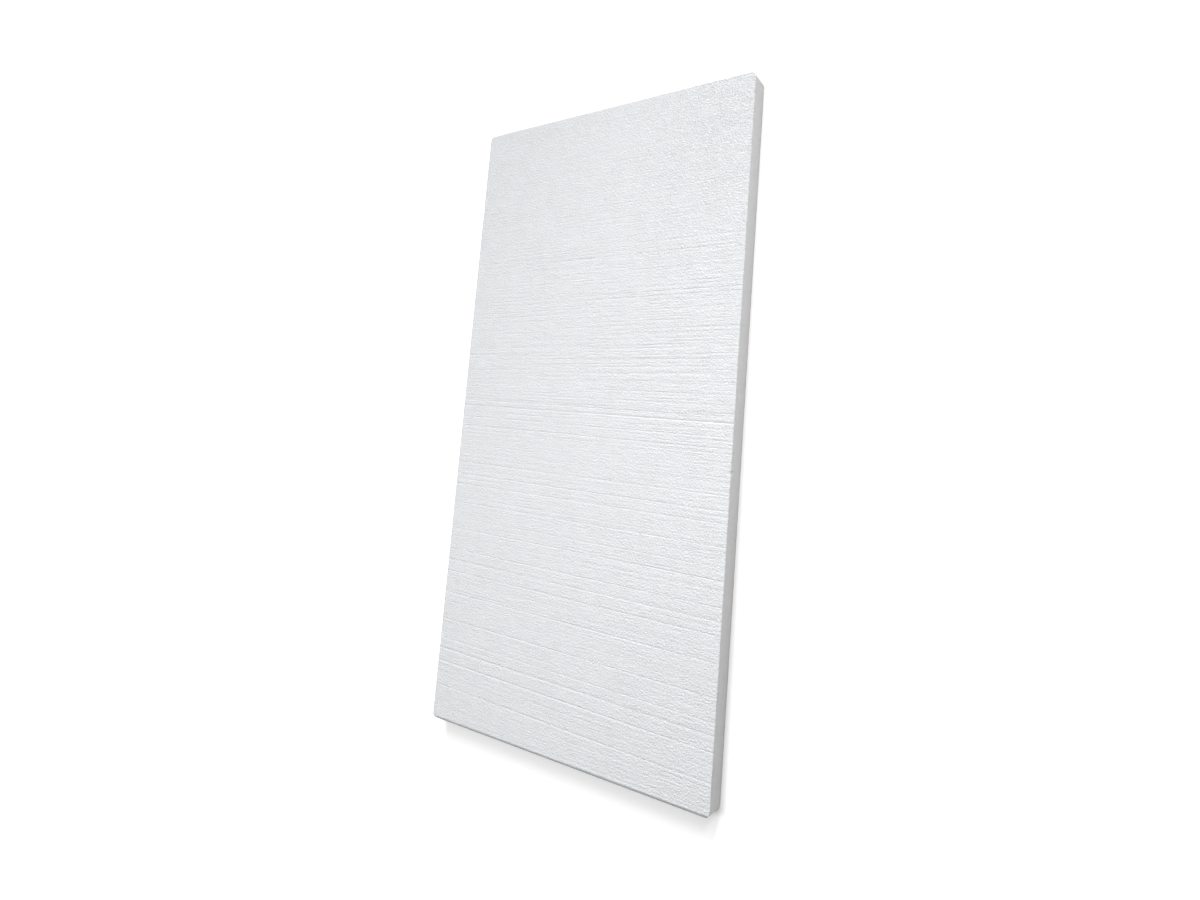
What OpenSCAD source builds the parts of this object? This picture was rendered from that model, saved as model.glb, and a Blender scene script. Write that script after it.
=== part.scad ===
// Expanded polystyrene (EPS) foam board, sliced from a moulded block by a hot wire.
//
// The board lies flat: X runs across its width, Y along its length towards the head end,
// and Z up through its thickness. The origin is under the centre of the board.
// The wire enters at the head end and travels to the foot end. Parallel wires cut the
// lower and the upper face in one pass, so both faces carry the same marks.

/* [Board] */
// Width of the board
board_w = 600; // [300:10:1250]
// Length of the board, from the head end to the foot end
board_l = 1200; // [600:10:3000]
// Thickness of the board
board_t = 40; // [10:1:200]
// Radius of the four upright corners, seen from above
corner_r = 10; // [1:0.5:20]

/* [Wire marks] */
// Radius that the wire melts out where it hesitates
melt_r = 4; // [1.5:0.5:6]
// Depth of the mark where the wire was stopped and set again
stop_depth = 0.4; // [0.1:0.1:1]
// Depth of each of the marks that follow
mark_depth = 0.3; // [0.1:0.1:1]
// Distance from the head end to the mark where the wire was set again
stop_at = 577; // [50:1:2900]
// Distance from the head end to the start of the marks that follow
marks_from = 690; // [60:1:2900]
// Mean distance between those marks
mark_pitch = 35; // [25:1:120]
// How far a mark strays from its even place, so that the marks bunch and spread
mark_stray = 14; // [0:1:16]
// Turn of the stray from one mark to the next, in degrees
stray_turn = 75; // [40:5:120]
// Length at the foot end that stays free of marks
foot_land = 30; // [20:1:200]

/* [Wire slant] */
// Slant of the wire across the board where it was set again, in degrees
stop_slant = 1.9; // [0:0.1:3]
// How much the slant eases off along each metre that follows, in degrees
slant_ease = 1; // [0:0.1:3]
// Length of wire that passes each long edge
wire_overrun = 20; // [10:1:60]

/* [Hidden] */
$fn = 72;

head_y = board_l / 2;
wire_l = board_w + 2 * wire_overrun;
mark_last = floor((board_l - foot_land - mark_stray - marks_from) / mark_pitch);

// Distance of mark number i from the head end
function mark_at(i) = marks_from + mark_pitch * i + mark_stray * cos(stray_turn * i);

// Slant of the wire at a distance from the head end
function slant_at(at) = stop_slant - slant_ease * (at - stop_at) / 1000;

// The board seen from above: a rectangle with its corners rounded
module outline() {
    square([board_w - 2 * corner_r, board_l], center = true);
    square([board_w, board_l - 2 * corner_r], center = true);
    for (x = [-1, 1], y = [-1, 1])
        translate([x * (board_w / 2 - corner_r), y * (board_l / 2 - corner_r)])
            circle(r = corner_r);
}

// The board before it is marked
module blank() {
    linear_extrude(height = board_t)
        outline();
}

// The straight path that the wire melts across both faces at one place
module wire_path(at, depth) {
    for (z = [depth - melt_r, board_t - depth + melt_r])
        translate([0, head_y - at, z])
            rotate([0, 0, -slant_at(at)])
                rotate([0, 90, 0])
                    cylinder(r = melt_r, h = wire_l, center = true);
}

module foam_board() {
    color([0.93, 0.94, 0.95])
        difference() {
            blank();
            wire_path(stop_at, stop_depth);
            for (i = [0:1:mark_last])
                wire_path(mark_at(i), mark_depth);
        }
}

foam_board();
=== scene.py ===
"""An expanded polystyrene board, cut from its block by a hot wire, lying on a pale floor.

The board is one sheet of fused beads. Its upper and lower faces were cut by the wire, which
left straight marks across them; its narrow sides were trimmed smooth. Lengths are in metres.
X runs across the board, Y along it towards the head end, and Z up through its thickness.
"""

import logging
import math
from collections.abc import Callable
from dataclasses import dataclass, field
from enum import Enum
from functools import cached_property

import bmesh
import bpy
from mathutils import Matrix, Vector, noise


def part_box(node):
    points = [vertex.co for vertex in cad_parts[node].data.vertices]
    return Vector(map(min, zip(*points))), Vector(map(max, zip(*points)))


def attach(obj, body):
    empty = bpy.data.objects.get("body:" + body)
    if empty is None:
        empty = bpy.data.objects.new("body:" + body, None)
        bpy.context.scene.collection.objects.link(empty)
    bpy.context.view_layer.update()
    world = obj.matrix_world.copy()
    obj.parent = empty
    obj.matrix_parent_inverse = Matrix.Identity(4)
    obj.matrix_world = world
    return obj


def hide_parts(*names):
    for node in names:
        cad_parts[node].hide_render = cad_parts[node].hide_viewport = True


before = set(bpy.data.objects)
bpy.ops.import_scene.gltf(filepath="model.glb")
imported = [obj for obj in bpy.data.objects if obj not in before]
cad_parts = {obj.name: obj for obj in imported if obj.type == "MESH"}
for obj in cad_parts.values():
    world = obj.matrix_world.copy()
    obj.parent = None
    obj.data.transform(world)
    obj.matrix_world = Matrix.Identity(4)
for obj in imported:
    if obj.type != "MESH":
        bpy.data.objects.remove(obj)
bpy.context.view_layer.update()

log = logging.getLogger("foam_board")

MM = 0.001
NODE = "foam_board"
BODY = "root"
# Point attribute that masks the painted shadow along the foot arris.
FOOT_SHADOW_MASK = "melted"
LINE_STEP = 1.7  # Step in the noise from one line of the wire to the next

Pair = tuple[float, float]
Triple = tuple[float, float, float]
Piece = bpy.types.Object
Socket = bpy.types.NodeSocket
Sockets = dict[str, Socket]
Outputs = bpy.types.NodeOutputs


# ---- The bench ----


def choose(piece: Piece) -> None:
    """Selects one piece alone and makes it the active one.

    Args:
        piece: The piece.
    """
    bpy.ops.object.select_all(action="DESELECT")
    piece.select_set(True)
    bpy.context.view_layer.objects.active = piece


@dataclass
class Bench:
    """A mesh held in edit mode, with picks made by place or normal.

    Attributes:
        piece: The mesh object to work on.
    """

    piece: Piece

    def __enter__(self) -> "Bench":
        """Selects the piece alone and opens it for editing.

        Returns:
            The bench.
        """
        choose(self.piece)
        bpy.ops.object.mode_set(mode="EDIT")
        bpy.ops.mesh.select_all(action="DESELECT")
        return self

    def __exit__(self, *_: object) -> None:
        """Closes the piece."""
        bpy.ops.mesh.reveal(select=False)
        bpy.ops.object.mode_set(mode="OBJECT")

    def pick(self, kind: str, wanted: Callable[..., bool]) -> None:
        """Selects the edges or faces that pass a test, and nothing else.

        Args:
            kind: "EDGE" or "FACE".
            wanted: The test that each element has to pass.
        """
        bpy.ops.mesh.select_mode(type=kind)
        bpy.ops.mesh.select_all(action="DESELECT")
        mesh = bmesh.from_edit_mesh(self.piece.data)
        for element in mesh.edges if kind == "EDGE" else mesh.faces:
            if not element.hide and wanted(element):
                element.select_set(True)
        mesh.select_flush_mode()
        bmesh.update_edit_mesh(self.piece.data, loop_triangles=False, destructive=False)

    def isolate(self, wanted: Callable[[bmesh.types.BMFace], bool]) -> None:
        """Hides every face but those that pass a test.

        Args:
            wanted: The test for the faces that stay in view.
        """
        bpy.ops.mesh.reveal(select=False)
        self.pick("FACE", wanted)
        bpy.ops.mesh.hide(unselected=True)

    def slice(self, point: Vector, normal: Vector) -> None:
        """Cuts all that is in view along a plane, and leaves the cut selected."""
        bpy.ops.mesh.select_all(action="SELECT")
        bpy.ops.mesh.bisect(plane_co=point, plane_no=normal, threshold=0.02 * MM)


# ---- The hot wire ----


def smooth(share: float) -> float:
    """A share, held between 0 and 1 and eased at both ends."""
    share = min(1.0, max(0.0, share))
    return share * share * (3 - 2 * share)


@dataclass(frozen=True)
class Ramp:
    """A number that changes smoothly along the board, or across it.

    Attributes:
        start: Where the change starts.
        over: Length that it takes.
        ends: The number before the change and after it.
    """

    start: float
    over: float
    ends: Pair = (0.0, 1.0)

    def at(self, place: float) -> float:
        """The number at a place."""
        before, after = self.ends
        return before + (after - before) * smooth((place - self.start) / self.over)


@dataclass(frozen=True)
class Ripple:
    """A number that varies over a cut face.

    Attributes:
        size: How broad its swings are, across the board and along it.
        seed: Number that tells one ripple from another.
        mean: The number that it varies about.
        swing: How far it varies.
    """

    size: Pair
    seed: float
    mean: float
    swing: float

    def at(self, station: float, across: float) -> float:
        """The number at a station and a distance from the centre line."""
        place = Vector((across / self.size[0], station / self.size[1], self.seed))
        return self.mean + self.swing * noise.noise(place)


@dataclass(frozen=True)
class HotWire:
    """The pass of the wire from the head end to the foot end.

    A station is a distance from the head end, taken on the board's centre line. The wire
    lies straight across the board through its station, at the station's own slant.

    Attributes:
        length: Length of the board.
        melt_r: Radius that the wire melts out where it hesitates.
        stop_depth: Depth of the mark at the stop, where the wire was set again.
        mark_depth: Depth of the marks that follow.
        stop_at: Station of the stop.
        echoes: Distances from the stop to the fainter marks close behind it.
        echo_share: Their depth from first to last, as a share of the stop's.
        marks_from: Station at which the later marks start.
        mark_pitch: Mean distance between those marks.
        mark_stray: How far a mark strays from its even place.
        stray_turn_deg: Turn of the stray from one mark to the next.
        foot_land: Length at the foot end that has no marks.
        slant_deg: Slant of the wire, which turned shortly before the stop.
        slant_ease_deg: How much the slant eases off along each metre past it.
        end_ease: Length at each end over which the lines straighten.
        lip: Length at the foot end that melted round as the wire left.
        lip_drop: How deep it melted there.
        rattle_reach: Distance from a mark within which the wire chattered more.
        rattle: How much more it chattered beside a mark.
        rattle_left: Share of the rattle that there is on the left.
        chatter_depth: Depth of the grooves that its chatter left between the marks.
        families: Share, mean pitch, reach and seed of each family of grooves.
        bunch: How far the grooves bunch and spread, as a share of their pitch.
        bunch_length: Length over which they do.
        waver: How far they waver.
        swell: How their depth varies.
        uneven: How the marks' depth varies.
        bite_share: Share of its pitch over which a groove bites in.
        ease_share: Share of its pitch over which it eases out again.
        grown: How the grooves grow, past the head end.
        roughness: Their depth on the left, and how much deeper they are on the right.
        rough: How much deeper still on the right, up to a little past the stop.
        calm: How they calm down near the stop.
        mark_growth: How much deeper the marks are on the right.
        right: How all this grows towards the right, from the centre line.
        even: Where it no longer does.
        coarse_step: Distance between lines of the mesh where the cut is smooth.
        fine_step: Distance between lines of the mesh where the wire chattered.
        fine_from: Station at which the chatter sets in.
    """

    length: float
    melt_r: float = 4 * MM
    stop_depth: float = 0.4 * MM
    mark_depth: float = 0.3 * MM
    stop_at: float = 577 * MM
    echoes: tuple[float, ...] = (10.6 * MM, 34 * MM, 52 * MM, 61 * MM)
    echo_share: Pair = (0.78, 0.53)
    marks_from: float = 690 * MM
    mark_pitch: float = 35 * MM
    mark_stray: float = 14 * MM
    stray_turn_deg: float = 75.0
    foot_land: float = 30 * MM
    slant_deg: Ramp = Ramp(497 * MM, 80 * MM, (0.3, 1.9))
    slant_ease_deg: float = 1.0
    end_ease: float = 50 * MM
    lip: float = 5 * MM
    lip_drop: float = 2.8 * MM
    rattle_reach: float = 16 * MM
    rattle: float = 0.5
    rattle_left: float = 0.3
    chatter_depth: float = 0.2 * MM
    families: tuple[tuple[float, float, float, float], ...] = (
        (1.0, 11 * MM, 0.9, 45.7),
        (0.7, 6.5 * MM, 0.2, 4.1),
    )
    bunch: float = 0.8
    bunch_length: float = 40 * MM
    waver: Ripple = Ripple((30 * MM, 20 * MM), 3.0, mean=0.0, swing=0.5 * MM)
    swell: Ripple = Ripple((200 * MM, 60 * MM), 5.0, mean=0.8, swing=0.5)
    uneven: Ripple = Ripple((120 * MM, 10 * MM), 1.0, mean=0.85, swing=0.4)
    bite_share: float = 0.22
    ease_share: float = 0.45
    grown: Ramp = Ramp(40 * MM, 360 * MM, (0.3, 1.0))
    roughness: Pair = (0.8, 0.25)
    rough: Ramp = Ramp(450 * MM, 300 * MM, (1.15, 0.0))
    calm: Ramp = Ramp(550 * MM, 100 * MM, (1.0, 0.75))
    mark_growth: float = 0.3
    right: Ramp = Ramp(-200 * MM, 500 * MM)
    even: Ramp = Ramp(950 * MM, 100 * MM, (1.0, 0.0))
    coarse_step: float = 2.0 * MM
    fine_step: float = 1.25 * MM
    fine_from: float = 100 * MM

    def mark_at(self, number: int) -> float:
        """Station of a later mark, by its number from 0."""
        stray = self.mark_stray * math.cos(math.radians(self.stray_turn_deg * number))
        return self.marks_from + self.mark_pitch * number + stray

    def slant_at(self, at: float) -> float:
        """Slant of the wire at a station.

        Args:
            at: The station.

        Returns:
            The slant in radians, eased to nothing at both ends.
        """
        slant = self.slant_deg.at(at) - self.slant_ease_deg * max(0.0, at - self.stop_at)
        ease = smooth(min(at, self.length - at) / self.end_ease)
        return math.radians(slant * ease)

    def station(self, across: float, along: float) -> float:
        """The station whose line runs through a place.

        Args:
            across: The place's distance from the centre line.
            along: The place's distance from the head end.

        Returns:
            The station.
        """
        at = along
        for _ in range(4):
            at = along - across * math.tan(self.slant_at(at))
        return at

    @cached_property
    def marks(self) -> list[Pair]:
        """Every mark that the wire left.

        Returns:
            Pairs of a station and a depth.
        """
        room = self.length - self.foot_land - self.mark_stray - self.marks_from
        count = int(room / self.mark_pitch) + 1
        later = [(self.mark_at(number), self.mark_depth) for number in range(count)]
        first, last = self.echo_share
        echoes = [(self.stop_at + gap,
                   self.stop_depth * (first - (first - last) * gap / self.echoes[-1]))
                  for gap in self.echoes]
        return [(self.stop_at, self.stop_depth), *echoes, *later]

    def half_width(self, depth: float) -> float:
        """Half the width that a mark of some depth has at the face."""
        return math.sqrt(2 * self.melt_r * depth - depth * depth)

    def lines(self, margin: float) -> list[float]:
        """Stations of the mesh's lines, with each mark's rounded section among them.

        Args:
            margin: Distance from each end to the first and the last line.

        Returns:
            The stations.
        """
        stations = []
        spans = []
        for at, depth in self.marks:
            half = self.half_width(depth)
            spans.append((at - half - self.fine_step / 2, at + half + self.fine_step / 2))
            stations += [at + share * half for share in (-1.0, -0.6, -0.2, 0.2, 0.6, 1.0)]
        at = margin
        while at < self.length - margin:
            if not any(first < at < last for first, last in spans):
                stations.append(at)
            at += self.fine_step if at > self.fine_from else self.coarse_step
        lip = [self.length - self.lip * share for share in (1.0, 0.75, 0.5)]
        return [*(at for at in stations if at < lip[0] - MM / 2), *lip, self.length - margin]

    def lip_depth_at(self, to_foot: float) -> float:
        """How far the foot arris melted back, at a distance from the foot end."""
        share = min(1.0, max(0.0, 1.0 - to_foot / self.lip))
        return self.lip_drop * share**1.1

    def mark_depth_at(self, at: float) -> float:
        """How deep the marks are at a station.

        Args:
            at: The station.

        Returns:
            The depth.
        """
        for mark, depth in self.marks:
            half = self.half_width(depth)
            if abs(at - mark) < half:
                return depth - self.melt_r + math.sqrt(self.melt_r**2 - (at - mark) ** 2)
        return 0.0

    def right_at(self, at: float, across: float) -> float:
        """How much the marks grow towards the right, which they no longer do at the foot end."""
        return self.right.at(across) * self.even.at(at)

    def groove(self, at: float, across: float, pitch: float, reach: float, seed: float) -> float:
        """How deep one family of grooves is: steep on the head side, easing out to the foot.

        Args:
            at: The station of the place.
            across: The place's distance from the centre line.
            pitch: Mean distance between the grooves.
            reach: Length over which a groove comes and goes.
            seed: Number that tells one family from another.

        Returns:
            The depth, as a share of the greatest.
        """
        beat = at / pitch + self.bunch * noise.noise(Vector((seed, at / self.bunch_length, 0.5)))
        number = math.floor(beat)
        share = beat - number
        bite = noise.noise(Vector((across / reach, number * LINE_STEP, seed)))
        eased = smooth((share - self.bite_share) / self.ease_share)
        return smooth((bite + 0.2) / 0.5) * min(smooth(share / self.bite_share), 1 - eased)

    def chatter_at(self, at: float, across: float) -> float:
        """How deep the wire's chatter bit at a place.

        Args:
            at: The station of the place.
            across: The place's distance from the centre line.

        Returns:
            The depth.
        """
        at += self.waver.at(at, across)
        bite = sum(share * self.groove(at, across, pitch, reach, seed)
                   for share, pitch, reach, seed in self.families)
        bite *= self.swell.at(at, across) * self.grown.at(at)
        right = self.right_at(at, across)
        left, more = self.roughness
        rougher = (left + more * right) * self.calm.at(at) + right * self.rough.at(at)
        near = min(abs(at - mark) for mark, _ in self.marks)
        rattle = self.rattle_left + (1 - self.rattle_left) * right
        rougher += self.rattle * rattle * smooth(1 - near / self.rattle_reach)
        return self.chatter_depth * bite * rougher


# ---- The shader groups ----


@dataclass
class NodeDesk:
    """Adds and joins nodes in one tree.

    Attributes:
        tree: The node tree to work in.
        column: Where the next node goes in a row of them.
    """

    tree: bpy.types.NodeTree
    column: int = 0

    @classmethod
    def cleared(cls, owner: bpy.types.Material | bpy.types.World) -> "NodeDesk":
        """A desk for the emptied node tree of a material or a world.

        Args:
            owner: The material or world.

        Returns:
            The desk.
        """
        owner.use_nodes = True
        owner.node_tree.nodes.clear()
        return cls(owner.node_tree)

    def add(self, kind: str, settings: dict | None = None, **inputs: object) -> bpy.types.Node:
        """Adds a node.

        Args:
            kind: The node's type name.
            settings: Values for the node's own properties.
            **inputs: A value or an output socket for each named input; spaces in a
                name are written as underscores, and in_0, in_1 name inputs by place.

        Returns:
            The new node.
        """
        node = self.tree.nodes.new(kind)
        node.location = (self.column * 180, 0)
        self.column += 1
        for name, value in (settings or {}).items():
            setattr(node, name, value)
        for name, value in inputs.items():
            place = name.removeprefix("in_")
            socket = node.inputs[int(place) if place.isdigit() else name.replace("_", " ")]
            if isinstance(value, Socket):
                self.tree.links.new(value, socket)
            else:
                socket.default_value = value
        return node

    def maths(self, operation: str, *values: object) -> Socket:
        """Adds a Math node for some numbers or output sockets, and gives its result."""
        inputs = {f"in_{i}": value for i, value in enumerate(values)}
        return self.add("ShaderNodeMath", {"operation": operation}, **inputs).outputs[0]

    def times(self, *values: object) -> Socket:
        """Adds a node for the product of two values, plus the third if there is one."""
        return self.maths("MULTIPLY_ADD" if len(values) > 2 else "MULTIPLY", *values)

    def vectors(self, operation: str, first: object, second: object) -> Socket:
        """Adds a Vector Math node.

        Args:
            operation: The operation's name.
            first: The first vector.
            second: The second vector, or the factor of a "SCALE".

        Returns:
            The result.
        """
        place = "Scale" if operation == "SCALE" else "in_1"
        node = self.add("ShaderNodeVectorMath", {"operation": operation},
                        in_0=first, **{place: second})
        return node.outputs["Value" if operation == "DOT_PRODUCT" else "Vector"]

    def spread(self, value: Socket, low: float, high: float,
               to: tuple[object, object] = (0.0, 1.0)) -> Socket:
        """Maps a range smoothly onto another.

        Args:
            value: The value.
            low: The value that maps to the first of the pair.
            high: The value that maps to the second.
            to: The pair of results, as numbers or output sockets.

        Returns:
            The mapped value.
        """
        node = self.add("ShaderNodeMapRange", {"interpolation_type": "SMOOTHSTEP"},
                        Value=value, From_Min=low, From_Max=high, To_Min=to[0], To_Max=to[1])
        return node.outputs["Result"]


class ShaderGroup(NodeDesk):
    """A node group with named inputs and outputs, built once at a desk of its own."""

    name = ""
    inputs: dict[str, float] = {}
    outputs: tuple[str, ...] = ()
    given: Outputs

    @classmethod
    def made(cls) -> bpy.types.NodeTree:
        """The group's node tree.

        Returns:
            The tree, made on first use.
        """
        known = bpy.data.node_groups.get(cls.name)
        if known:
            return known
        tree = bpy.data.node_groups.new(cls.name, "ShaderNodeTree")
        tree.interface.new_socket("Place", in_out="INPUT", socket_type="NodeSocketVector")
        for name, value in cls.inputs.items():
            socket = tree.interface.new_socket(name, in_out="INPUT", socket_type="NodeSocketFloat")
            socket.default_value = value
        for name in cls.outputs:
            tree.interface.new_socket(name, in_out="OUTPUT", socket_type="NodeSocketFloat")
        group = cls(tree)
        group.given = group.add("NodeGroupInput").outputs
        results = group.build()
        end = group.add("NodeGroupOutput")
        for name, value in results.items():
            tree.links.new(value, end.inputs[name])
        return tree

    @cached_property
    def parts(self) -> Outputs:
        """The three parts of the group's place."""
        return self.add("ShaderNodeSeparateXYZ", Vector=self.given["Place"]).outputs

    def build(self) -> Sockets:
        """Fills the group and gives its output sockets by name."""
        raise NotImplementedError

    @classmethod
    def place(cls, desk: NodeDesk, where: Socket, **values: float) -> Outputs:
        """Puts the group into a material, with values by input name, and gives its outputs."""
        return desk.add("ShaderNodeGroup", {"node_tree": cls.made()}, Place=where, **values).outputs


class BeadCells(ShaderGroup):
    """Fused beads: crushed cells, each tilted its own way, with sunken seams between them."""

    name = "bead_cells"
    inputs = {"Bead Size": 4 * MM, "Crush": 0.5, "Tilt": 1.4}
    outputs = ("Height", "Seam", "Shade")

    def build(self) -> Sockets:
        """Fills the group.

        Returns:
            The cells' height, their seams and a random shade for each.
        """
        scale = self.maths("DIVIDE", 1.0, self.given["Bead Size"])
        place = self.vectors("SCALE", self.given["Place"], scale)
        wobble = self.add("ShaderNodeTexNoise", Vector=place, Scale=0.9, Detail=1.0)
        offset = self.vectors("SUBTRACT", wobble.outputs["Color"], (0.5, 0.5, 0.5))
        crushed = self.vectors("ADD", place, self.vectors("SCALE", offset, self.given["Crush"]))
        cell = self.add("ShaderNodeTexVoronoi", {"feature": "F1"}, Vector=crushed, Scale=1.0)
        edge = self.add("ShaderNodeTexVoronoi", {"feature": "DISTANCE_TO_EDGE"},
                        Vector=crushed, Scale=1.0).outputs["Distance"]
        lean = self.vectors("SUBTRACT", cell.outputs["Color"], (0.5, 0.5, 0.5))
        inside = self.vectors("SUBTRACT", crushed, cell.outputs["Position"])
        tilted = self.times(self.vectors("DOT_PRODUCT", inside, lean), self.given["Tilt"])
        dome = self.spread(edge, 0.0, 0.3)
        height = self.times(dome, self.maths("ADD", tilted, 0.5))
        shade = self.add("ShaderNodeSeparateColor", Color=cell.outputs["Color"]).outputs["Red"]
        return {"Height": height, "Seam": self.spread(edge, 0.0, 0.16, (1.0, 0.0)), "Shade": shade}


class BeadBond(ShaderGroup):
    """How loosely the beads are fused: loosest at the head end and on the right."""

    name = "bead_bond"
    inputs = {"At Head": 0.5, "On Right": 0.15, "In Corner": 0.9}
    outputs = ("Relief",)

    def build(self) -> Sockets:
        """Fills the group.

        Returns:
            A factor for the beads' relief, 1 at the foot on the left.
        """
        parts = self.parts
        head = self.spread(parts["Y"], -0.7, 0.7)
        right = self.spread(parts["X"], 0.0, 0.28)
        corner = self.times(self.spread(parts["Y"], 0.1, 0.55), right)
        factor = self.times(head, self.given["At Head"], 1.0)
        factor = self.times(right, self.given["On Right"], factor)
        return {"Relief": self.times(corner, self.given["In Corner"], factor)}


class WireStation(ShaderGroup):
    """Which line of the wire a place lies on, and how far its marks have grown there."""

    name = "wire_station"
    inputs = {"Lead Slope": 0.005, "Foot Slope": 0.033, "Ease": 0.55, "Start": 0.38,
              "At Foot": 0.65, "On Right": 0.45, "Ahead": 0.6}
    outputs = ("Across", "Station", "Grown")

    def build(self) -> Sockets:
        """Fills the group.

        Returns:
            The place across, the wire's station, and the strength there.
        """
        parts = self.parts
        slopes = self.given["Lead Slope"], self.given["Foot Slope"]
        slope = self.spread(parts["Y"], 0.1, 0.02, slopes)
        eased = self.times(parts["Y"], self.given["Ease"], 1.0)
        slope = self.times(slope, eased)
        grown = self.spread(parts["Y"], 0.55, 0.15, (self.given["Start"], 1.0))
        spent = self.spread(parts["Y"], 0.05, -0.15, (1.0, self.given["At Foot"]))
        grown = self.times(grown, spent)
        right = self.spread(parts["X"], -0.3, 0.3)
        ahead = self.spread(parts["Y"], -0.1, 0.15, (0.0, self.given["Ahead"]))
        side = self.maths("ADD", ahead, self.given["On Right"])
        side = self.times(right, side, 1.0)
        return {"Across": parts["X"],
                "Station": self.times(parts["X"], slope, parts["Y"]),
                "Grown": self.times(grown, side)}


class WireLines(ShaderGroup):
    """Thin straight lines side by side, each steep towards the head and easy to the foot.

    Its place is the wire's: across, the station, and how far the marks have grown.
    """

    name = "wire_lines"
    inputs = {"Pitch": 8 * MM, "Reach": 0.5, "Seed": 1.0}
    outputs = ("Depth",)

    def build(self) -> Sockets:
        """Fills the group.

        Returns:
            The depth of the lines, from 0 to 1.
        """
        wire = self.parts
        drift = self.times(wire["Y"], 25.0, self.given["Seed"])
        wander = self.add("ShaderNodeTexNoise", {"noise_dimensions": "1D"}, W=drift,
                          Scale=1.0, Detail=0.0).outputs["Fac"]
        beat = self.maths("DIVIDE", wire["Y"], self.given["Pitch"])
        beat = self.times(wander, 1.6, beat)
        number = self.times(self.maths("FLOOR", beat), LINE_STEP, self.given["Seed"])
        along = self.add("ShaderNodeCombineXYZ", Y=number,
                         X=self.maths("DIVIDE", wire["X"], self.given["Reach"])).outputs["Vector"]
        bite = self.add("ShaderNodeTexNoise", {"noise_dimensions": "2D"}, Vector=along,
                        Scale=1.0, Detail=1.0).outputs["Fac"]
        share = self.maths("FRACT", beat)
        down = self.spread(share, 1.0, 0.85)
        back = self.spread(share, 0.35, 0.85)
        depth = self.times(self.maths("MINIMUM", down, back), self.spread(bite, 0.4, 0.7))
        return {"Depth": self.times(depth, wire["Z"])}


class WireDrag(ShaderGroup):
    """Short dashes that the wire dragged into the cut, in the wire's own place too."""

    name = "wire_drag"
    inputs = {"Dash Length": 14 * MM, "Dash Width": 2.4 * MM}
    outputs = ("Depth",)

    def build(self) -> Sockets:
        """Fills the group.

        Returns:
            The depth of the dashes, as noise drawn out along the wire.
        """
        wire = self.parts
        drawn = self.add("ShaderNodeCombineXYZ",
                         X=self.maths("DIVIDE", wire["X"], self.given["Dash Length"]),
                         Y=self.maths("DIVIDE", wire["Y"], self.given["Dash Width"]))
        bite = self.add("ShaderNodeTexNoise", {"noise_dimensions": "2D"},
                        Vector=drawn.outputs["Vector"], Scale=0.5, Detail=1.0).outputs["Fac"]
        return {"Depth": self.times(self.spread(bite, 0.45, 0.75), wire["Z"])}


class FoamGrain(ShaderGroup):
    """The torn and melted skin: crumbs finer than the beads, and patches broader than them."""

    name = "foam_grain"
    inputs = {"Grain Size": 1.1 * MM}
    outputs = ("Height", "Glint", "Cloud", "Tint")

    def build(self) -> Sockets:
        """Fills the group.

        Returns:
            Fine crumbs, a mask of sparse spots for painted glints, and faint patches of shade and
            tint.
        """
        scale = self.maths("DIVIDE", 1.0, self.given["Grain Size"])
        crumbs = self.add("ShaderNodeTexNoise", Vector=self.given["Place"], Scale=scale,
                          Detail=1.0, Roughness=0.6).outputs["Fac"]
        # Sparse spots, which the finish lightens as painted glints.
        coarse = self.times(scale, 0.45)
        spark = self.add("ShaderNodeTexVoronoi", {"feature": "F1"},
                         Vector=self.given["Place"], Scale=coarse)
        draw = self.add("ShaderNodeSeparateColor", Color=spark.outputs["Color"]).outputs["Green"]
        near = self.spread(spark.outputs["Distance"], 0.15, 0.45, (1.0, 0.0))
        glint = self.times(near, self.spread(draw, 0.82, 0.95))
        cloud = self.add("ShaderNodeTexNoise", Vector=self.given["Place"], Scale=24.0,
                         Detail=4.0)
        tint = self.add("ShaderNodeSeparateColor", Color=cloud.outputs["Color"])
        return {"Height": crumbs, "Glint": glint, "Cloud": cloud.outputs["Fac"],
                "Tint": tint.outputs["Blue"]}


# ---- The finishes ----


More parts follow.
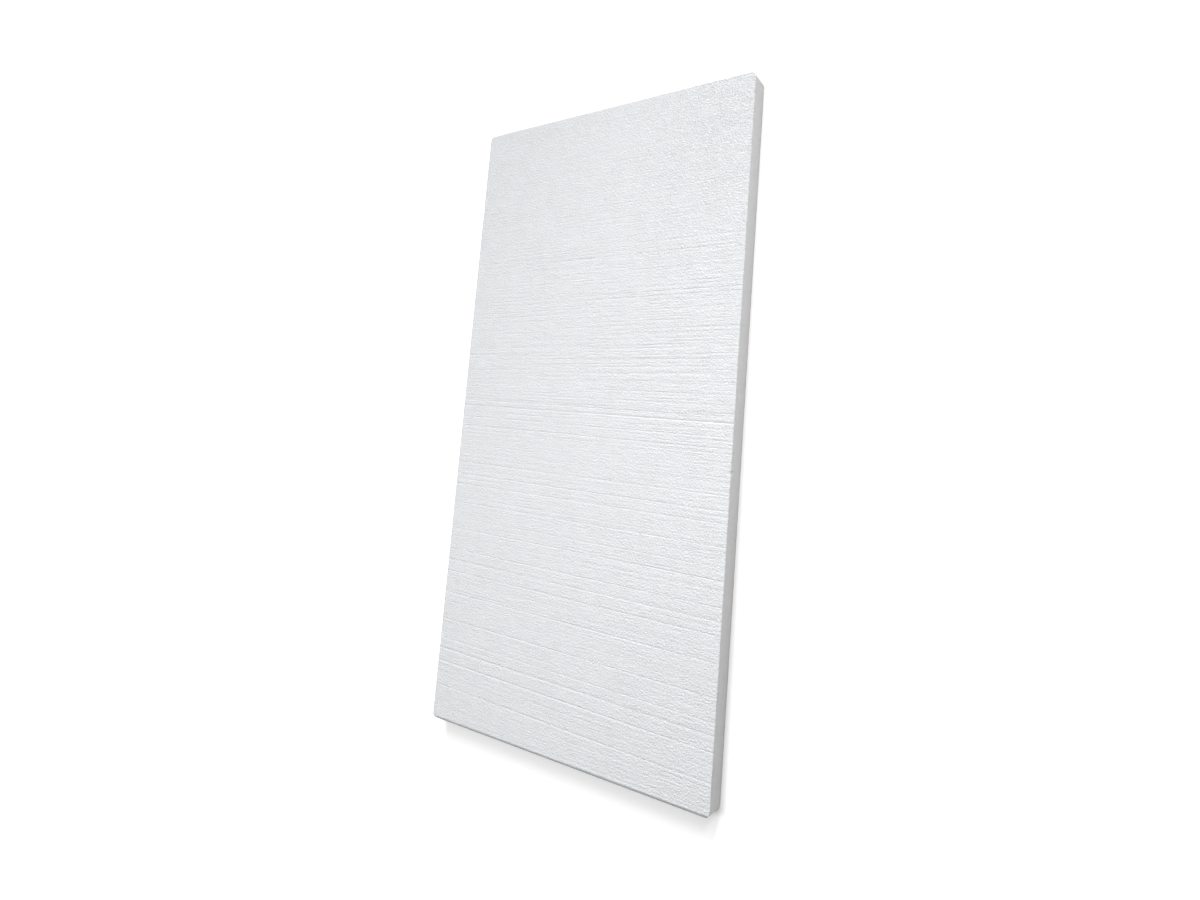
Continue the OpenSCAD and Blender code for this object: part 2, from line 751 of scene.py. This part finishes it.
@dataclass(frozen=True)
class FoamFinish:
    """White foam: fused beads under a thin melted skin.

    Attributes:
        name: The material's name.
        white: Colour of the foam.
        bead_size: Distance across a bead.
        bead_relief: Height of the beads.
        line_relief: Depth of the wire's fine lines.
        dash_relief: Depth of its dashes.
        line_dark: How much darker the lines and dashes are, as painted shade in their grooves.
        painted_foot_shadow: How much darker the foam is along the melted lip at the foot end, as a
            painted shadow along the foot arris.
        grain_relief: Height of the crumbs.
        seam_shade: How much darker the seams are, as painted shade in the sunken seams between
            beads.
        shade_spread: How much the beads differ in shade.
        mottle: How much broader patches differ in shade.
        tint: How the colour shifts between the coolest and the warmest patches.
        glint: How much lighter the glints are, painted into the colour as highlights.
        roughness: Roughness of the skin, at its glossiest and at its dullest.
        line_families: Pitch, reach along the wire and seed of each family of lines.
    """

    name: str
    white: Triple
    bead_size: float = 4.8 * MM
    bead_relief: float = 0.62 * MM
    line_relief: float = 0.135 * MM
    dash_relief: float = 0.12 * MM
    grain_relief: float = 0.09 * MM
    line_dark: float = 0.02
    painted_foot_shadow: float = 0.36
    seam_shade: float = 0.04
    shade_spread: float = 0.03
    mottle: float = 0.075
    tint: Triple = (0.02, 0.0, -0.03)
    glint: float = 0.04
    roughness: Pair = (0.42, 0.68)
    line_families: tuple[Triple, ...] = (
        (8.3 * MM, 0.6, 3.0),
        (5.7 * MM, 0.2, 8.0),
    )

    def material(self) -> bpy.types.Material:
        """The finish as a Blender material.

        Returns:
            The material, made on first use.
        """
        made = bpy.data.materials.get(self.name)
        if made:
            return made
        made = bpy.data.materials.new(self.name)
        desk = NodeDesk.cleared(made)
        where = desk.add("ShaderNodeTexCoord").outputs["Object"]
        beads = BeadCells.place(desk, where, Bead_Size=self.bead_size)
        grain = FoamGrain.place(desk, where)

        relief = desk.times(beads["Height"], self.bead_relief)
        relief = desk.times(grain["Height"], self.grain_relief, relief)
        loose = BeadBond.place(desk, where)["Relief"]
        relief = desk.times(relief, loose)
        lines = []
        if self.line_relief > 0:
            wire = WireStation.place(desk, where)
            along = desk.add("ShaderNodeCombineXYZ", X=wire["Across"], Y=wire["Station"],
                             Z=wire["Grown"]).outputs["Vector"]
            for pitch, reach, seed in self.line_families:
                line = WireLines.place(desk, along, Pitch=pitch, Reach=reach, Seed=seed)
                relief = desk.times(line["Depth"], -self.line_relief, relief)
                lines.append(line["Depth"])
            dash = WireDrag.place(desk, along)["Depth"]
            relief = desk.times(dash, -self.dash_relief, relief)
            lines.append(dash)
        bump = desk.add("ShaderNodeBump", Strength=1.0, Distance=1.0, Height=relief)

        tone = desk.times(beads["Shade"], self.shade_spread, 1.0 - self.shade_spread)
        # Painted shade in the seams between beads, stronger where the beads are loosely fused.
        seam = desk.times(beads["Seam"], loose)
        tone = desk.times(seam, -self.seam_shade, tone)
        # Painted shade in the wire's lines and dashes, darker where they are deeper.
        for depth in lines:
            tone = desk.times(depth, -self.line_dark, tone)
        # Painted glints: sparse spots made lighter in the colour.
        tone = desk.times(grain["Glint"], self.glint, tone)
        tone = desk.times(grain["Cloud"], self.mottle, tone)
        # Painted shadow along the foot arris, laid over the melted lip.
        melted = desk.add("ShaderNodeAttribute", {"attribute_name": FOOT_SHADOW_MASK}).outputs["Fac"]
        tone = desk.times(melted, -self.painted_foot_shadow, tone)
        tint = desk.vectors("SCALE", self.tint, desk.maths("SUBTRACT", grain["Tint"], 0.5))
        colour = desk.vectors("SCALE", desk.vectors("ADD", tint, self.white), tone)
        rough = desk.spread(grain["Height"], 0.35, 0.65, self.roughness)

        skin = desk.add("ShaderNodeBsdfPrincipled", Base_Color=colour, Roughness=rough,
                        Normal=bump.outputs["Normal"], IOR=1.45)
        desk.add("ShaderNodeOutputMaterial", Surface=skin.outputs["BSDF"])
        return made


WIRE_CUT = FoamFinish("wire_cut_foam", (0.816, 0.830, 0.847))
# The narrow sides' finish: smoother, with no wire lines, and a darker white than the cut faces'
# that is painted shade on the sides.
TRIMMED_SHADED = FoamFinish("trimmed_foam_shaded", (0.750, 0.750, 0.750), bead_relief=0.2 * MM,
                     line_relief=0.0, grain_relief=0.06 * MM,
                     seam_shade=0.03, shade_spread=0.04, glint=0.12)


# ---- The board ----


class Cut(Enum):
    """The two faces that the wire cut, by the sign of their outward direction."""

    UPPER = 1
    LOWER = -1


@dataclass(frozen=True)
class Nick:
    """A place where beads broke out of an upper arris.

    Attributes:
        across: Its distance from the left side.
        along: Its distance from the head end.
        reach: Half its length.
        depth: How deep it is.
    """

    across: float
    along: float
    reach: float
    depth: float


@dataclass
class FoamBoard:
    """The sheet of foam, from its squared blank to its dressed faces.

    Attributes:
        low: Lowest corner of the board.
        high: Highest corner of the board.
        corner_r: Radius of the upright corners, seen from above.
        corner_steps: Flats round each upright corner.
        arris_r: How far the arrises are rubbed off.
        upper_columns: Columns of faces across the upper face.
        lower_columns: Columns of faces across the lower face.
        side_rows: Rows of faces up each narrow side.
        end_step: Distance between the points along the end arrises.
        crumble_depth: How far the arrises have crumbled.
        crumble_size: Size of what has crumbled off.
        arris_columns: Distances of the extra lines of the mesh from each long arris.
        nicks: Where more has broken out.
        board: The piece, once its blank is squared.
    """

    low: Vector
    high: Vector
    corner_r: float = 10 * MM
    corner_steps: int = 9
    arris_r: float = 0.5 * MM
    upper_columns: int = 48
    lower_columns: int = 16
    side_rows: int = 5
    end_step: float = 2 * MM
    crumble_depth: float = 0.8 * MM
    crumble_size: float = 2.6 * MM
    arris_columns: tuple[float, ...] = (1.5 * MM, 4.0 * MM)
    nicks: tuple[Nick, ...] = (
        Nick(600 * MM, 38 * MM, 4 * MM, 1.6 * MM),
        Nick(600 * MM, 676 * MM, 5 * MM, 2.0 * MM),
        Nick(0 * MM, 165 * MM, 5 * MM, 1.2 * MM),
        Nick(63 * MM, 1200 * MM, 4 * MM, 1.6 * MM),
        Nick(92 * MM, 1200 * MM, 4 * MM, 1.4 * MM),
    )
    board: Piece = field(init=False)

    @cached_property
    def wire(self) -> HotWire:
        """The pass of the hot wire."""
        return HotWire(self.size.y)

    @cached_property
    def bench(self) -> Bench:
        """The bench that holds the board."""
        return Bench(self.board)

    @property
    def size(self) -> Vector:
        """Width, length and thickness."""
        return self.high - self.low

    @property
    def centre(self) -> Vector:
        """The middle of the board."""
        return (self.low + self.high) / 2

    def build(self) -> Piece:
        """Makes the board and dresses it.

        Returns:
            The finished piece.
        """
        self.square()
        with self.bench:
            self.cut_rows()
            self.cut_ends()
            self.cut_sides()
            self.cut_columns(Cut.UPPER, self.upper_columns)
            self.cut_columns(Cut.LOWER, self.lower_columns)
        for cut in Cut:
            self.mark(cut)
        self.crumble()
        self.chip()
        self.paint_foot_shadow()
        self.dress()
        return self.board

    def square(self) -> None:
        """Makes the squared blank and rounds its four upright corners."""
        bpy.ops.mesh.primitive_cube_add(size=1, location=self.centre, scale=self.size)
        self.board = bpy.context.active_object
        self.board.name = self.board.data.name = "foam_sheet"
        bpy.ops.object.transform_apply(location=True, rotation=True, scale=True)
        with self.bench as bench:
            bench.pick("EDGE", lambda edge: abs(edge.verts[0].co.z - edge.verts[1].co.z)
                       > self.size.z / 2)
            bpy.ops.mesh.bevel(offset=self.corner_r, segments=self.corner_steps, affect="EDGES")
            bench.pick("EDGE", lambda edge: abs(edge.verts[0].co.z - edge.verts[1].co.z) < MM)
            bpy.ops.mesh.bevel(offset=self.arris_r, segments=2, affect="EDGES")

    def cut_rows(self) -> None:
        """Cuts the board along lines of the wire."""
        for at in self.wire.lines(2 * self.arris_r):
            slant = self.wire.slant_at(at)
            self.bench.slice(Vector((self.centre.x, self.high.y - at, self.centre.z)),
                             Vector((math.sin(slant), math.cos(slant), 0)))

    def cut_ends(self) -> None:
        """Divides the two ends, so that their arrises can crumble bead by bead."""
        reach = self.size.y / 2 - self.arris_r - 0.01 * MM
        self.bench.isolate(lambda face: all(abs(vert.co.y - self.centre.y) > reach
                                            for vert in face.verts))
        for number in range(1, round(self.size.x / self.end_step)):
            x = self.low.x + number * self.end_step
            self.bench.slice(Vector((x, 0, 0)), Vector((1, 0, 0)))

    def cut_sides(self) -> None:
        """Divides the narrow sides through their thickness."""
        self.bench.isolate(lambda face: abs(face.normal.z) < 0.5)
        for number in range(1, self.side_rows):
            z = self.low.z + self.size.z * number / self.side_rows
            self.bench.slice(Vector((0, 0, z)), Vector((0, 0, 1)))

    def cut_columns(self, cut: Cut, columns: int) -> None:
        """Divides a cut face into columns.

        Args:
            cut: The face to divide.
            columns: How many columns it gets.
        """
        self.bench.isolate(lambda face: face.normal.z * cut.value > 0.5)
        places = [self.low.x + self.size.x * number / columns for number in range(1, columns)]
        for inside in self.arris_columns:
            places += [self.low.x + inside, self.high.x - inside]
        for x in places:
            self.bench.slice(Vector((x, 0, 0)), Vector((1, 0, 0)))

    def on_cut(self, place: Vector, cut: Cut) -> bool:
        """Whether a place is on a cut face, or on an arris of it.

        Args:
            place: The place.
            cut: The face.

        Returns:
            True where it is.
        """
        depth = self.wire.stop_depth + 2 * self.wire.chatter_depth + 0.1 * MM
        inside = self.high.z - place.z if cut is Cut.UPPER else place.z - self.low.z
        return inside < depth

    def station(self, place: Vector) -> float:
        """The wire's station at a place."""
        return self.wire.station(place.x - self.centre.x, self.high.y - place.y)

    def mark(self, cut: Cut) -> None:
        """Presses the wire's marks and its chatter into a cut face.

        Args:
            cut: The face.
        """
        wire = self.wire
        deepest = wire.lip_drop + 1.5 * wire.stop_depth + 3 * wire.chatter_depth

        def depth(place: Vector) -> float:
            """How deep the face is cut at a place.

            Args:
                place: The place.

            Returns:
                A share of the greatest depth.
            """
            if not self.on_cut(place, cut):
                return 0.0
            at = self.station(place)
            across = (place.x - self.centre.x) * cut.value
            grown = wire.uneven.at(at, across) + wire.mark_growth * wire.right_at(at, across)
            pressed = wire.mark_depth_at(at) * grown
            pressed += wire.chatter_at(at, across)
            pressed += wire.lip_depth_at(place.y - self.low.y)
            return pressed / deepest

        self.weigh(cut.name, depth)
        self.press(cut.name, "Z", -deepest * cut.value)

    def crumble(self) -> None:
        """Breaks beads out of the arrises, most of all where the wire's grooves run out."""
        wire = self.wire

        def on_arris(place: Vector) -> float:
            """How far an arris crumbles at a place.

            Args:
                place: The place.

            Returns:
                A share of the greatest depth.
            """
            inside = min(place.x - self.low.x, self.high.x - place.x,
                         place.y - self.low.y, self.high.y - place.y)
            if inside > self.arris_r or not any(self.on_cut(place, cut) for cut in Cut):
                return 0.0
            bite = wire.chatter_at(self.station(place), place.x) / wire.chatter_depth
            crumbled = 0.4 + 0.6 * min(1.0, bite)
            return crumbled * (0.5 if place.y - self.low.y < self.arris_r else 1.0)

        crumbs = bpy.data.textures.new("crumbs", "CLOUDS")
        crumbs.noise_scale = self.crumble_size
        crumbs.noise_depth = 1
        self.weigh("arris", on_arris)
        self.press("arris", "NORMAL", -self.crumble_depth, crumbs)

    def chip(self) -> None:
        """Breaks the nicks out of the upper arrises."""
        deepest = max(nick.depth for nick in self.nicks)

        def depth(place: Vector) -> float:
            """How much has broken out at a place.

            Args:
                place: The place.

            Returns:
                A share of the greatest depth.
            """
            share = 0.0
            for nick in self.nicks:
                heart = Vector((self.low.x + nick.across, self.high.y - nick.along, self.high.z))
                near = 1 - (place - heart).length / nick.reach
                share = max(share, smooth(near) * nick.depth / deepest)
            return share

        self.weigh("nicks", depth)
        self.press("nicks", "NORMAL", -deepest)

    def paint_foot_shadow(self) -> None:
        """Notes how far each point lies in the melted lip at the foot end, as the mask for the
        painted shadow along the foot arris.
        """
        melted = self.board.data.attributes.new(FOOT_SHADOW_MASK, "FLOAT", "POINT")
        for vertex, value in zip(self.board.data.vertices, melted.data):
            to_foot = vertex.co.y - self.low.y
            inside = min(self.high.z - vertex.co.z, vertex.co.z - self.low.z)
            if inside < self.wire.lip_drop + 2 * self.arris_r:
                value.value = smooth(2 - 2 * to_foot / self.wire.lip)

    def weigh(self, name: str, weight: Callable[[Vector], float]) -> None:
        """Paints a vertex group from a rule.

        Args:
            name: The group's name.
            weight: The weight at a place.
        """
        group = self.board.vertex_groups.new(name=name)
        for vertex in self.board.data.vertices:
            value = weight(vertex.co)
            if value > 0:
                group.add([vertex.index], value, "REPLACE")

    def press(self, group: str, direction: str, strength: float,
              texture: bpy.types.Texture | None = None) -> None:
        """Moves the board's surface as far as a vertex group says.

        Args:
            group: The vertex group.
            direction: "Z", or "NORMAL" for along the surface's normal.
            strength: The greatest distance.
            texture: Noise that varies the distance.
        """
        push = self.board.modifiers.new(group, "DISPLACE")
        push.vertex_group = group
        push.direction = direction
        push.mid_level = 0.0
        push.strength = strength
        push.texture = texture
        push.texture_coords = "LOCAL"
        choose(self.board)
        bpy.ops.object.modifier_apply(modifier=push.name)

    def dress(self) -> None:
        """Gives each face its finish and smooths all but the arrises."""
        for finish in (WIRE_CUT, TRIMMED_SHADED):
            self.board.data.materials.append(finish.material())
        with self.bench as bench:
            bench.pick("FACE", lambda face: abs(face.normal.z) < 0.6)
            self.board.active_material_index = 1
            bpy.ops.object.material_slot_assign()
        self.board.vertex_groups.clear()
        choose(self.board)
        bpy.ops.object.shade_smooth_by_angle(angle=math.radians(40))


# ---- The studio ----


@dataclass(frozen=True)
class Lamp:
    """A soft square lamp aimed at the board.

    Attributes:
        name: The lamp's name.
        place: Where it hangs.
        side: Length of its sides.
        power: Its power in watts.
        mirrored: Whether the foam's sheen shows it.
    """

    name: str
    place: Triple
    side: float
    power: float
    mirrored: bool = True

    def hang(self, aim: Vector) -> None:
        """Hangs the lamp.

        Args:
            aim: The point that it faces.
        """
        bpy.ops.object.light_add(type="AREA", location=self.place)
        lamp = bpy.context.active_object
        lamp.name = lamp.data.name = self.name
        lamp.data.shape = "SQUARE"
        lamp.data.size = self.side
        lamp.data.energy = self.power
        lamp.visible_camera = False
        lamp.visible_glossy = self.mirrored
        lamp.rotation_euler = (aim - Vector(self.place)).to_track_quat("-Z", "Y").to_euler()


@dataclass(frozen=True)
class Viewpoint:
    """Where the camera stands and how it is turned.

    Attributes:
        place: The camera's place.
        turn_deg: Its turn about X, Y and Z.
        lens_mm: Focal length on a 36 mm wide sensor.
        shift: Sideways and upward shift of the lens.
    """

    place: Triple = (0.7444, -0.0786, 1.0761)
    turn_deg: Triple = (8.61, 32.34, 5.38)
    lens_mm: float = 20.9
    shift: Pair = (-0.0143, -0.0451)

    def set_up(self) -> None:
        """Makes the camera and looks through it."""
        turn = [math.radians(angle) for angle in self.turn_deg]
        bpy.ops.object.camera_add(location=self.place, rotation=turn)
        camera = bpy.context.active_object
        camera.name = "camera"
        camera.data.sensor_fit = "HORIZONTAL"
        camera.data.sensor_width = 36.0
        camera.data.lens = self.lens_mm
        camera.data.shift_x, camera.data.shift_y = self.shift
        camera.data.clip_start = 0.01
        bpy.context.scene.camera = camera


@dataclass(frozen=True)
class Studio:
    """The pale floor, the soft light and the camera.

    Attributes:
        floor_side: Length of the floor's sides.
        floor_white: Colour of the floor to the eye.
        floor_bounce: Colour of the floor to the light that it throws back.
        lift_rise: How much more each metre away from the board is lifted.
        floor_lift: Light that the camera alone sees from the floor.
        side_lift: How much more of it there is beside the long sides.
        sky: Brightness of the light from all round.
        lamps: The lamps.
        viewpoint: The camera's place.
    """

    floor_side: float = 14.0
    floor_white: float = 0.95
    floor_bounce: float = 0.6
    lift_rise: float = 6.0
    floor_lift: float = 0.08
    side_lift: float = 0.42
    sky: float = 0.346
    lamps: tuple[Lamp, ...] = (
        Lamp("key", (0.5, 13.3, 4.3), 4.2, 1480.0, mirrored=False),
        Lamp("overhead", (-0.3, -0.3, 1.9), 0.8, 12.4),
        Lamp("fill", (0.9, 0.6, 1.1), 0.4, 6.2),
    )
    viewpoint: Viewpoint = Viewpoint()

    def build(self, low: Vector, high: Vector) -> None:
        """Sets the studio up.

        Args:
            low: Lowest corner of the board.
            high: Highest corner of the board.
        """
        self.viewpoint.set_up()
        self.lay_floor(high)
        self.light_world()
        for lamp in self.lamps:
            lamp.hang((low + high) / 2)
        bpy.context.scene.view_settings.view_transform = "Standard"

    def seen(self, desk: NodeDesk) -> Socket:
        """1 for what the camera, a reflection or a refraction sees.

        Args:
            desk: Where the nodes go.

        Returns:
            The mask.
        """
        path = desk.add("ShaderNodeLightPath").outputs
        mirrored = desk.maths("MAXIMUM", path["Is Glossy Ray"], path["Is Transmission Ray"])
        return desk.maths("MAXIMUM", path["Is Camera Ray"], mirrored)

    def clear_of_board(self, desk: NodeDesk, high: Vector) -> Socket:
        """How much the floor is lifted: a little by the board, fully away from it.

        Args:
            desk: Where the nodes go.
            high: Highest corner of the board.

        Returns:
            The lift.
        """
        where = desk.add("ShaderNodeNewGeometry").outputs["Position"]
        away = desk.vectors("ABSOLUTE", where, (0, 0, 0))
        past = desk.vectors("SUBTRACT", away, (high.x, high.y, 0))
        beside = desk.add("ShaderNodeSeparateXYZ", Vector=past).outputs["X"]
        beside = desk.spread(beside, -10 * MM, 30 * MM, (0.0, self.side_lift))
        past = desk.vectors("MAXIMUM", past, (0, 0, 0))
        gap = desk.add("ShaderNodeVectorMath", {"operation": "LENGTH"}, in_0=past)
        rising = desk.times(gap.outputs["Value"], self.lift_rise, self.floor_lift)
        return desk.maths("MINIMUM", desk.maths("ADD", rising, beside), 1.0)

    def lay_floor(self, high: Vector) -> None:
        """Lays the floor, white to the eye but with the board's shadow on it.

        Args:
            high: Highest corner of the board.
        """
        bpy.ops.mesh.primitive_plane_add(size=self.floor_side, location=(0, 0, -0.1 * MM))
        floor = bpy.context.active_object
        floor.name = floor.data.name = "floor"
        bpy.ops.object.transform_apply(location=True, rotation=True, scale=True)
        paint = bpy.data.materials.new("pale_floor")
        desk = NodeDesk.cleared(paint)
        seen = self.seen(desk)
        white = desk.times(seen, self.floor_white - self.floor_bounce, self.floor_bounce)
        matt = desk.add("ShaderNodeBsdfDiffuse", Color=white).outputs["BSDF"]
        lift = desk.times(seen, self.clear_of_board(desk, high))
        glow = desk.add("ShaderNodeEmission", Strength=lift).outputs["Emission"]
        both = desk.add("ShaderNodeAddShader", in_0=matt, in_1=glow).outputs["Shader"]
        desk.add("ShaderNodeOutputMaterial", Surface=both)
        floor.data.materials.append(paint)

    def light_world(self) -> None:
        """Lights the studio evenly from all round."""
        world = bpy.data.worlds.new("studio")
        bpy.context.scene.world = world
        desk = NodeDesk.cleared(world)
        strength = desk.spread(self.seen(desk), 0.0, 1.0, (self.sky, 1.0))
        air = desk.add("ShaderNodeBackground", Strength=strength).outputs["Background"]
        desk.add("ShaderNodeOutputWorld", Surface=air)


def main() -> None:
    """Builds the studio and the board, and ties the board to the frame."""
    logging.basicConfig(level=logging.INFO, format="%(name)s: %(message)s")
    low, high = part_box(NODE)
    Studio().build(low, high)
    board = FoamBoard(low, high).build()
    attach(board, BODY)
    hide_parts(NODE)
    board.data.calc_loop_triangles()
    log.info("%s: %d triangles", board.name, len(board.data.loop_triangles))


if __name__ == "__main__":
    main()
